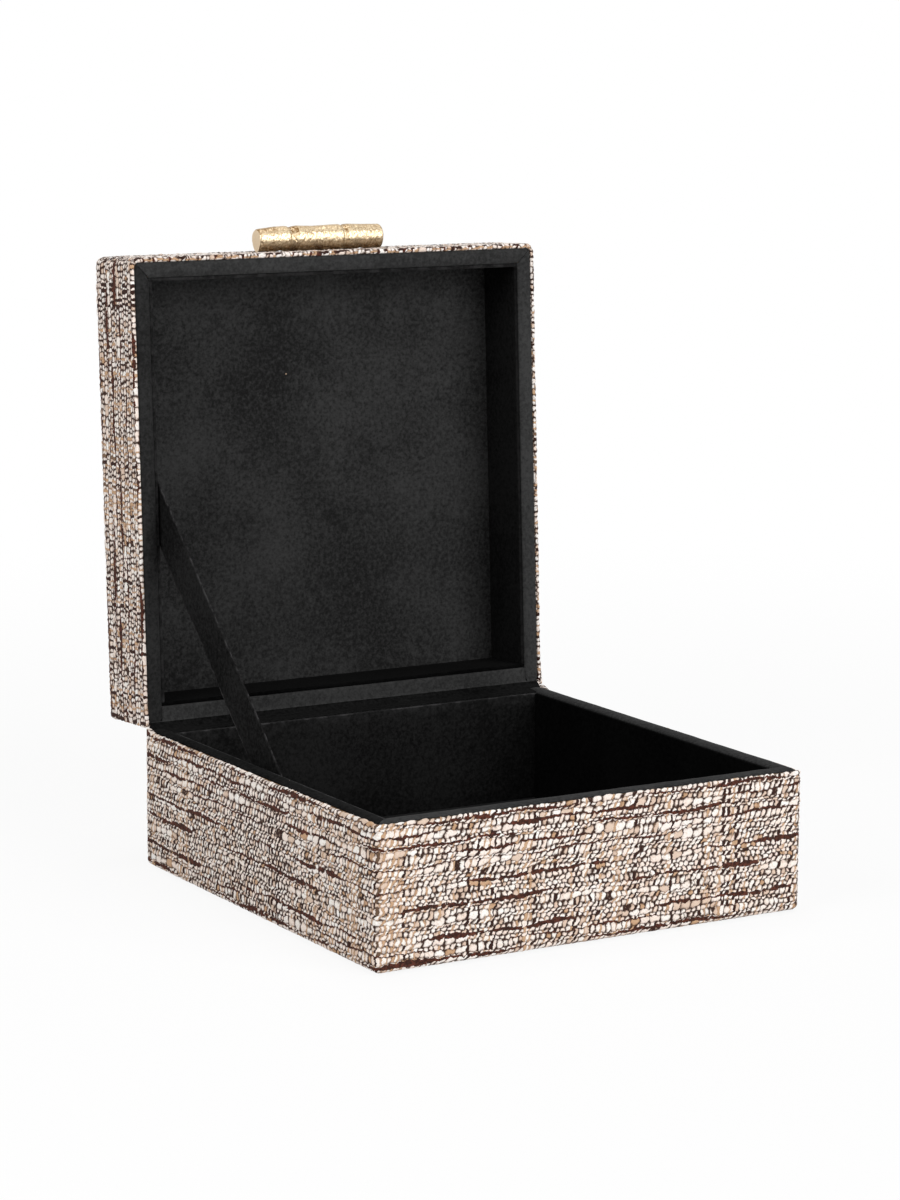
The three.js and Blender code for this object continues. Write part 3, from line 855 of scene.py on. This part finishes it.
    # the hidden ceiling is baked small, in a free corner
    under = everything[ceiling][:, :2] / 200 * 0.1 + 0.07
    bakeMap(piece, np.concatenate([corners / span + 0.5, under]))
    standFor(piece, "lid_fabric_cover", "lid")
    return piece


lidTweed = makeLidTweed()
print("lid tweed:", len(lidTweed.data.polygons), "faces")


# suede-covered cards that line both halves, and the sheet under the base
cards = {
    "radius": 0.55, "sheetRadius": 0.25, "step": 5.0,  # millimetres
    "close": 0.45,  # how far a card reaches towards the next one
    "ripple": 0.05, "rippleSize": 38.0, "calm": 6.0,  # the ripple fades out this close to an edge
    # painted highlight on the wall cards' edges that show in the rim
    "worn": {"base": 0.9, "lid": 0.35},  # how light the edges are that show in the rim
}
cardNames = ["front_liner", "back_liner", "left_liner", "right_liner"]
shadedCards = {
    "lid_top_liner": suede["suedeLining"], "lid_back_liner": suede["suedeShade"],
    "lid_right_liner": suede["suedeHalfShade"], "base_right_liner": suede["suedeShade"],
}


def makeCard(node, body, radius):
    boxOf, place = places[body]
    low, high = boxOf(node)
    # wall cards reach the flat card, and side cards the front and back ones
    if "left" in node or "right" in node:
        low[1] -= cards["close"]
        high[1] += cards["close"]
    isWall = any(node.endswith(cardName) for cardName in cardNames)
    if isWall:
        low[2] -= cards["close"] * (body == "base")
        high[2] += cards["close"] * (body == "lid")
    axes = [stops(low[k], high[k], radius, cards["step"]) for k in range(3)]
    flat, faces = lattice(axes, ["x-", "x+", "y-", "y+", "z-", "z+"])
    points, normals, _, _ = rounded(flat, low, high, radius)
    inset = np.minimum(flat - low, high - flat)
    calm = np.clip(np.sort(inset, 1)[:, 1] / cards["calm"], 0, 1)
    seed = sorted(frame["nodes"]).index(node)
    dips = cards["ripple"] * calm * (1 + ripple(points, cards["rippleSize"], 1.0, seed))
    points -= normals * dips[:, None]
    first, *rest = node.split("_")
    name = first + "".join(word.capitalize() for word in rest)
    lining = shadedCards.get(node, suede["suedeWellShade"])
    piece = meshPiece(name, place(points * mm), np.concatenate(list(faces.values())), lining)
    # painted highlight: the card is lighter along the edge that shows in the rim, where light catches it
    inward = high[2] - flat[:, 2] if body == "base" else flat[:, 2] - low[2]
    pointValues(piece, "edge", cards["worn"][body] * isWall * np.clip(1.3 - inward / radius, 0, 1))
    standFor(piece, node, body)


for body, flatCard in (("base", "floor_liner"), ("lid", "top_liner")):
    for cardName in cardNames + [flatCard]:
        makeCard(body + "_" + cardName, body, cards["radius"])
makeCard("base_bottom_sheet", "base", cards["sheetRadius"])
print("suede cards made")


# suede strips over the board edges, mitred at the front and butted against the hinge
strip = {
    "inner": 91.7, "outer": 97.96, "thickness": 0.8, "butt": 97.9,  # millimetres
    "cornerRadius": {"base": 0.9, "lid": 2.0}, "backRadius": 0.9,
    "crown": 0.40, "edgeDrop": 0.45, "step": 1.4,
    "creaseGap": 0.12, "creaseDepth": 0.3, "creaseWidth": 1.1,
    "ripple": 0.10, "rippleSize": 23.0, "sideRipple": 0.3,  # share of the ripple that also goes sideways
    "tuck": 3.0, "tuckFront": 91.48, "tuckRear": 91.62,  # the edge turned in behind the liner
}
# painted shade: the left rims take darker suede than the other rims, the base's that of the ribbon
coverings = {"lid_left_rim": suede["suedeRimLeftShade"], "base_left_rim": suede["suedeRibbon"]}


def stripSection():
    # (share across from the inner to the outer edge, height) round the strip
    over = []
    for s in np.linspace(0, 1, 11):
        edge = min(s, 1 - s) * 2
        rise = strip["crown"] * edge ** 0.5 - strip["edgeDrop"] * (1 - edge) ** 4
        over.append((s, strip["thickness"] + rise))
    wide = strip["outer"] - strip["inner"]
    front, rear = ((strip[key] - strip["inner"]) / wide for key in ("tuckFront", "tuckRear"))
    tuck = [(rear, -0.05), (rear, -strip["tuck"]), (front, -strip["tuck"]), (front, 0.2)]
    return np.array(tuck + over + [(1.0, 0.0), (0.5, 0.0)])


def makeRim(body, side):
    turn = {"front": 0, "right": 1, "left": 3}[side]
    node = body + "_" + side + "_rim"
    section = stripSection()
    count = round(2 * strip["outer"] / strip["step"])
    along = np.linspace(-1, 1, count + 1)
    s = section[:, 0][:, None]
    depth = strip["inner"] + (strip["outer"] - strip["inner"]) * s
    mitre = np.where(s >= 0, depth, strip["tuckFront"]) - strip["creaseGap"]
    butt = np.where(s >= 0, strip["butt"], mitre)
    ends = {"front": (mitre, mitre), "right": (mitre, butt), "left": (butt, mitre)}[side]
    x = -ends[0] + (along[None] + 1) / 2 * (ends[0] + ends[1])
    isBack = {"front": along > 2, "right": along > 0, "left": along < 0}[side]
    radius = np.where(isBack, strip["backRadius"], strip["cornerRadius"][body])[None, :, None]
    y = np.broadcast_to(-depth, x.shape)
    z = np.broadcast_to(section[:, 1][:, None], x.shape).copy()
    flat = np.stack([x, y], 2)
    core = np.clip(flat, radius - strip["outer"], strip["outer"] - radius)
    away = flat - core
    far = np.linalg.norm(away, axis=2, keepdims=True)
    flat = np.where(far > radius, core + away / np.maximum(far, 1e-9) * radius, flat)
    fromEnd = depth * (1 - np.abs(along[None]))
    sinking = strip["creaseDepth"] * np.exp(-(fromEnd / strip["creaseWidth"]) ** 2)
    onTop = section[:, 1][:, None] > 0.1
    z -= sinking * onTop
    points = np.concatenate([flat, z[:, :, None]], 2).reshape(-1, 3)
    wobble = ripple(points, strip["rippleSize"], strip["ripple"], 11 * turn + len(body)).reshape(z.shape)
    points[:, 2] += (wobble * onTop).ravel()
    points[:, 1] += strip["sideRipple"] * wobble.ravel()
    spin = np.array(Matrix.Rotation(turn * math.pi / 2, 3, "Z"))
    points = points @ spin.T
    boxOf, place = places[body]
    low, high = boxOf(node)
    points[:, 2] = low[2] + points[:, 2] if body == "base" else high[2] - points[:, 2]
    faces = tubeFaces(len(section), count + 1, body == "base")
    covering = coverings.get(node, suede["suedeRim"])
    piece = meshPiece(body + side.capitalize() + "Rim", place(points * mm), faces, covering)
    standFor(piece, node, body)


for body in ("base", "lid"):
    for side in ("front", "left", "right"):
        makeRim(body, side)
print("rim strips made")


# the cloth hinge: one strip over both back rims and the crease between them
hingeStrip = {
    "thickness": 0.7, "crown": 0.2, "crownWidth": 8.0, "sink": 0.35, "leafEnd": 97.55,  # millimetres
    "bendReach": 2.0, "bendHalf": 98.0, "bendSink": 0.1,
    "tuckFrom": 1.1, "tuckPast": 0.8, "tuckInset": 0.15,
    "ripple": 0.06, "rippleSize": 31.0, "columns": 140,
    "shadeRows": 21,  # rows of faces on the base's rim and in the crease, which get painted shade
}


def openSpot(up, depth):
    # a point of the open lid's rim plane, from the hinge line
    spot = onLid(np.array([[0, hingePoint[1] - up * mm, -depth * mm]]))[0] / mm
    return spot[1], spot[2]


def hingeLine():
    # (y, z, half length, thickness) of the strip's face, from behind the base's liner to behind the lid's
    level = rimLevel / mm
    hingeY = hingePoint[1] / mm
    reach, thick, sink = hingeStrip["bendReach"], hingeStrip["thickness"], hingeStrip["bendSink"]
    inner, front = strip["inner"], strip["tuckFront"]
    leafHalf = inner - strip["creaseGap"]
    tuckDepths = np.linspace(hingeStrip["tuckFrom"], strip["tuck"] + hingeStrip["tuckPast"], 3)
    tucked = (front - hingeStrip["tuckInset"], strip["tuckRear"] - front)

    def leafRise(fromInner):
        crown = math.sin(math.pi * fromInner / hingeStrip["crownWidth"])
        return hingeStrip["crown"] * crown - hingeStrip["sink"]

    line = [(front, level - down, *tucked) for down in tuckDepths[::-1]]
    for y in np.linspace(inner, hingeStrip["leafEnd"], 8):
        line.append((y, level + leafRise(y - inner), leafHalf, thick))
    start = np.array([hingeY - reach, level - sink])
    end = np.array(openSpot(reach, sink))
    crease = np.array(openSpot(sink, sink))
    for t in np.linspace(0, 1, 11):
        spot = (1 - t) ** 2 * start + 2 * t * (1 - t) * crease + t * t * end
        line.append((*spot, hingeStrip["bendHalf"], thick))
    for up in np.linspace(hingeY - hingeStrip["leafEnd"], hingeY - inner, 8):
        line.append((*openSpot(up, leafRise(hingeY - inner - up)), leafHalf, thick))
    line += [(*openSpot(hingeY - front, -down), *tucked) for down in tuckDepths]
    return np.array(line)


def makeHingeCloth():
    line = hingeLine()
    along = np.linspace(-1, 1, hingeStrip["columns"] + 1)
    way = np.gradient(line[:, :2], axis=0)
    way /= np.linalg.norm(way, axis=1, keepdims=True)
    back = np.stack([way[:, 1], -way[:, 0]], 1) * line[:, 3][:, None]
    sheets = []
    for offset in (0 * back, back):
        x = along[None] * line[:, 2][:, None]
        y = np.broadcast_to((line[:, 0] + offset[:, 0])[:, None], x.shape)
        z = np.broadcast_to((line[:, 1] + offset[:, 1])[:, None], x.shape)
        sheets.append(np.stack([x, y, z], 2))
    front, rear = sheets
    loop = np.concatenate([front, rear[::-1]])
    points = loop.reshape(-1, 3)
    points[:, 2] += ripple(points, hingeStrip["rippleSize"], hingeStrip["ripple"], 77)
    faces = tubeFaces(len(loop), len(along), True)
    piece = meshPiece("hingeCloth", points * mm, faces, suede["suedeRim"])
    piece.data.materials.append(suede["suedeHalfShade"])
    # painted shade on the base's rim and in the crease
    dark = np.zeros(len(piece.data.polygons), np.int32)
    dark[:hingeStrip["shadeRows"] * hingeStrip["columns"]] = 1
    piece.data.polygons.foreach_set("material_index", dark)
    standFor(piece, "hinge_cloth")
    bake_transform(piece)


makeHingeCloth()
print("hinge cloth made")


# the suede ribbon that stops the lid
ribbon = {
    "width": 19.0, "thickness": 1.0, "reach": 88.0, "tail": 15.0, "bow": 0.15,  # millimetres
    "aside": 0.15, "press": 0.8, "wave": 0.08, "twist": 0.1, "steps": 110, "across": 16,
}


def makeRibbon():
    low, high = baseBox("lid_strap")
    middleX = (low[0] + high[0]) / 2
    onRim = np.array([hingePoint[1] / mm - ribbon["reach"], rimLevel / mm])
    onTop = np.array(openSpot(ribbon["reach"], 0))
    long = np.linalg.norm(onTop - onRim)
    way = (onTop - onRim) / long
    side = np.array([-way[1], way[0]])
    t = np.linspace(-ribbon["tail"], long + ribbon["tail"], ribbon["steps"] + 1)
    # the section is a flat loop with thin edges
    shares = np.linspace(-1, 1, ribbon["across"] + 1)
    bulge = ribbon["thickness"] / 2 * (1 - shares ** 8 * 0.7)
    share = np.concatenate([shares, shares[::-1]])[:, None]
    thick = np.concatenate([bulge, -bulge[::-1]])[:, None]
    ragged = 1 + 0.012 * np.sin(0.9 * t) + 0.010 * np.sin(2.3 * t + 1) + 0.006 * np.sin(5.1 * t)
    across = share * ribbon["width"] / 2 * ragged[None]
    flat = onRim[None, None] + t[None, :, None] * way + across[:, :, None] * side
    sway = ribbon["bow"] * np.sin(math.pi * np.clip(t / long, 0, 1)) + ribbon["wave"] * np.sin(0.11 * t)
    x = middleX + ribbon["aside"] + thick * ribbon["press"] + sway[None]
    x = x + ribbon["twist"] * np.sin(0.07 * t)[None] * share
    points = np.concatenate([x[:, :, None], flat], 2)
    rows, columns = points.shape[:2]
    faces = tubeFaces(rows, columns, False)
    piece = meshPiece("lidStrap", points.reshape(-1, 3) * mm, faces, suede["suedeRibbon"])
    pointValues(piece, "edge", np.repeat(np.clip((np.abs(share) - 0.9) / 0.1, 0, 1), columns))
    standFor(piece, "lid_strap")
    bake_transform(piece)


makeRibbon()
print("ribbon made")


# the hammered brass bar, shaped like a length of bamboo
bar = {
    # millimetres from the left end, and the radius there
    "places": (0, 4.5, 9, 13, 14.6, 15.1, 15.5, 16.2, 17.6, 19.4, 23, 27.8,
               32.5, 37, 40.6, 41.3, 41.7, 42.3, 43.3, 45, 51, 58, 61),
    "radii": (4.3, 4.7, 5.15, 5.28, 5.25, 4.75, 4.5, 4.7, 5.05, 5.33, 5.17, 4.98,
              5.12, 5.3, 5.34, 4.95, 4.72, 4.95, 5.28, 5.42, 5.14, 4.98, 4.95),
    "seat": 5.75,  # from the axis to the cloth
    "bevel": 0.6, "bevelSlope": 0.7, "around": 120, "step": 0.25, "seed": 5, "meanRadius": 5.0,
    "dents": 2600, "dentSize": (0.2, 0.45), "dentReach": 2.6, "dentSlant": 0.6, "dentDepth": 0.11,
    # painted dark reflection: dark towards the cloth, away from it and beside the nodes
    "patina": (0.20, 0.80), "topReflection": 0.6, "flareReflection": 1.0,
}


def makeBar():
    low, high = lidBox("handle_bar")
    centre = (low + high) / 2
    half = (high[0] - low[0]) / 2
    x = np.linspace(-half, half, round(2 * half / bar["step"]) + 1)
    radius = np.interp(x + half, bar["places"], bar["radii"])
    radius = np.convolve(np.pad(radius, 1, mode="edge"), np.ones(3) / 3, "valid")
    inset = np.minimum(x + half, half - x)
    radius = radius - np.clip(bar["bevel"] - inset, 0, None) * bar["bevelSlope"]
    angle = np.linspace(0, 2 * math.pi, bar["around"], endpoint=False)
    draw = np.random.default_rng(bar["seed"])
    grid = np.repeat(radius[:, None], bar["around"], 1)
    for _ in range(bar["dents"]):
        place = draw.uniform(-half, half), draw.uniform(0, 2 * math.pi)
        size = draw.uniform(*bar["dentSize"])
        turn = (angle - place[1] + math.pi) % (2 * math.pi) - math.pi
        run, rise = x[:, None] - place[0], turn[None] * bar["meanRadius"]
        slant = run * bar["dentSlant"]
        gap = ((run - rise * bar["dentSlant"]) / size) ** 2 + ((rise + slant) / size / bar["dentReach"]) ** 2
        grid -= bar["dentDepth"] * draw.uniform(0.3, 1) * np.clip(1 - gap, 0, 1)
    # the side on the cloth is drawn out to a straight seat
    toCloth = np.clip(np.cos(angle), 0, 1)[None]
    seated = grid * np.cos(angle)[None] + (bar["seat"] - grid) * toCloth ** 2
    points = np.stack([
        np.repeat(x[:, None], bar["around"], 1),
        centre[1] + seated,
        centre[2] + grid * np.sin(angle)[None],
    ], 2)
    rows, columns = points.shape[:2]
    faces = list(loftFaces(rows, columns, False, True)[:, ::-1])
    caps = [np.arange(columns)[::-1], (rows - 1) * columns + np.arange(columns)]
    piece = meshPiece("handleBar", onLid(points.reshape(-1, 3) * mm), faces + caps, brass)
    piece.data.materials.append(brassCap)
    # painted dark reflection: darker where the bar faces the cloth, where it faces away, and on the flares
    # beside the nodes
    darkReflections = ease(np.cos(angle), *bar["patina"]) + bar["topReflection"] * ease(-np.cos(angle), 0.45, 0.9)
    flare = bar["flareReflection"] * ease(np.gradient(radius, x), 0.03, 0.18)
    darkReflections = darkReflections[None] + flare[:, None] * ease(-np.cos(angle), 0.0, 0.6)[None]
    pointValues(piece, "patina", np.minimum(darkReflections, 1))
    for face in list(piece.data.polygons)[-2:]:
        face.material_index = 1
        face.use_smooth = False
    standFor(piece, "handle_bar", "lid")


makeBar()
print("handle made")

# the pieces inside, which only show when the coverings are taken off
hidden = {"board": fibreboard, "filler_card": greyCard, "screw_left": screwSteel, "screw_right": screwSteel}
for name, node in frame["nodes"].items():
    for ending, material in hidden.items():
        if name.endswith(ending):
            node.data.materials.clear()
            node.data.materials.append(material)
print("inner pieces finished")


# the floor, the light and the camera
studio = {
    "floorSize": 60.0, "floorColour": (0.9, 0.9, 0.9, 1.0), "floorRoughness": 0.9, "skyStrength": 0.24,
    "floorGlow": 0.9, "floorFade": (0.25, 1.0),  # how white it is, and where it turns all white, in metres
    # power, size and place
    "lamps": {
        "keyLamp": (41.5, 1.7, (0.75, -2.05, 0.95)),
        "fillLamp": (12.5, 1.0, (-1.4, -0.25, 0.95)),
        "topLamp": (9.0, 0.9, (0.1, 0.45, 1.9)),
    },
    "aim": (0.0, 0.03, 0.12),
}
view = {
    "place": (-0.74898, -1.244, 0.37477), "yaw": 30.758, "pitch": -9.835, "roll": 0.359,
    "focalPixels": 3556.18, "picture": (900, 1200), "sensor": 36.0,
}


def whiteSurround(tree):
    # white where the camera sees the backdrop, by itself or mirrored in the metal
    path = tree.nodes.new("ShaderNodeLightPath")
    camera, glossy, through = (
        Wire(tree, path.outputs[name]) for name in ("Is Camera Ray", "Is Glossy Ray", "Is Transmission Ray")
    )
    return larger(larger(camera, glossy), through)


def makeFloor():
    half = studio["floorSize"] / 2
    material = bpy.data.materials.new("paleFloor")
    material.use_nodes = True
    tree = material.node_tree
    surface = tree.nodes["Principled BSDF"]
    surface.inputs["Base Color"].default_value = studio["floorColour"]
    surface.inputs["Roughness"].default_value = studio["floorRoughness"]
    surface.inputs["Specular IOR Level"].default_value = 0.0
    glow = tree.nodes.new("ShaderNodeEmission")
    mix = tree.nodes.new("ShaderNodeMixShader")
    # the floor turns plain white away from the object, and keeps the shadow near it
    spot = tree.nodes.new("ShaderNodeTexCoord")
    away = tree.nodes.new("ShaderNodeVectorMath")
    away.operation = "LENGTH"
    tree.links.new(spot.outputs["Object"], away.inputs[0])
    far = ease(Wire(tree, away.outputs["Value"]), *studio["floorFade"])
    glowing = studio["floorGlow"] + (1 - studio["floorGlow"]) * far
    feed(tree, mix.inputs["Fac"], whiteSurround(tree) * glowing)
    tree.links.new(surface.outputs["BSDF"], mix.inputs[1])
    tree.links.new(glow.outputs["Emission"], mix.inputs[2])
    tree.links.new(mix.outputs["Shader"], tree.nodes["Material Output"].inputs["Surface"])
    corners = [(-half, -half, 0), (half, -half, 0), (half, half, 0), (-half, half, 0)]
    floor = meshPiece("paleFloor", corners, [(0, 1, 2, 3)], material, False)


def makeSky():
    world = bpy.data.worlds.new("studioSky")
    world.use_nodes = True
    bpy.context.scene.world = world
    tree = world.node_tree
    sky = tree.nodes["Background"]
    sky.inputs["Color"].default_value = (1, 1, 1, 1)
    strength = studio["skyStrength"] + whiteSurround(tree) * (1 - studio["skyStrength"])
    feed(tree, sky.inputs["Strength"], strength)


def makeLamp(name, power, size, place):
    light = bpy.data.lights.new(name, "AREA")
    light.energy = power
    light.size = size
    lamp = bpy.data.objects.new(name, light)
    lamp.location = place
    lamp.rotation_euler = (Vector(studio["aim"]) - Vector(place)).to_track_quat("-Z", "Y").to_euler()
    bpy.context.scene.collection.objects.link(lamp)


def makeCamera():
    data = bpy.data.cameras.new("photoCamera")
    data.sensor_width = view["sensor"]
    data.lens = view["focalPixels"] * view["sensor"] / max(view["picture"])
    data.clip_start = 0.05
    data.clip_end = 200
    camera = bpy.data.objects.new("photoCamera", data)
    turn = Matrix.Rotation(-math.radians(view["yaw"]), 4, "Z")
    nod = Matrix.Rotation(math.radians(90 + view["pitch"]), 4, "X")
    roll = Matrix.Rotation(math.radians(view["roll"]), 4, "Z")
    camera.matrix_world = Matrix.Translation(view["place"]) @ turn @ nod @ roll
    bpy.context.scene.collection.objects.link(camera)
    bpy.context.scene.camera = camera


makeFloor()
makeSky()
for name, lamp in studio["lamps"].items():
    makeLamp(name, *lamp)
makeCamera()
bpy.context.scene.view_settings.view_transform = "Standard"
print("studio set")
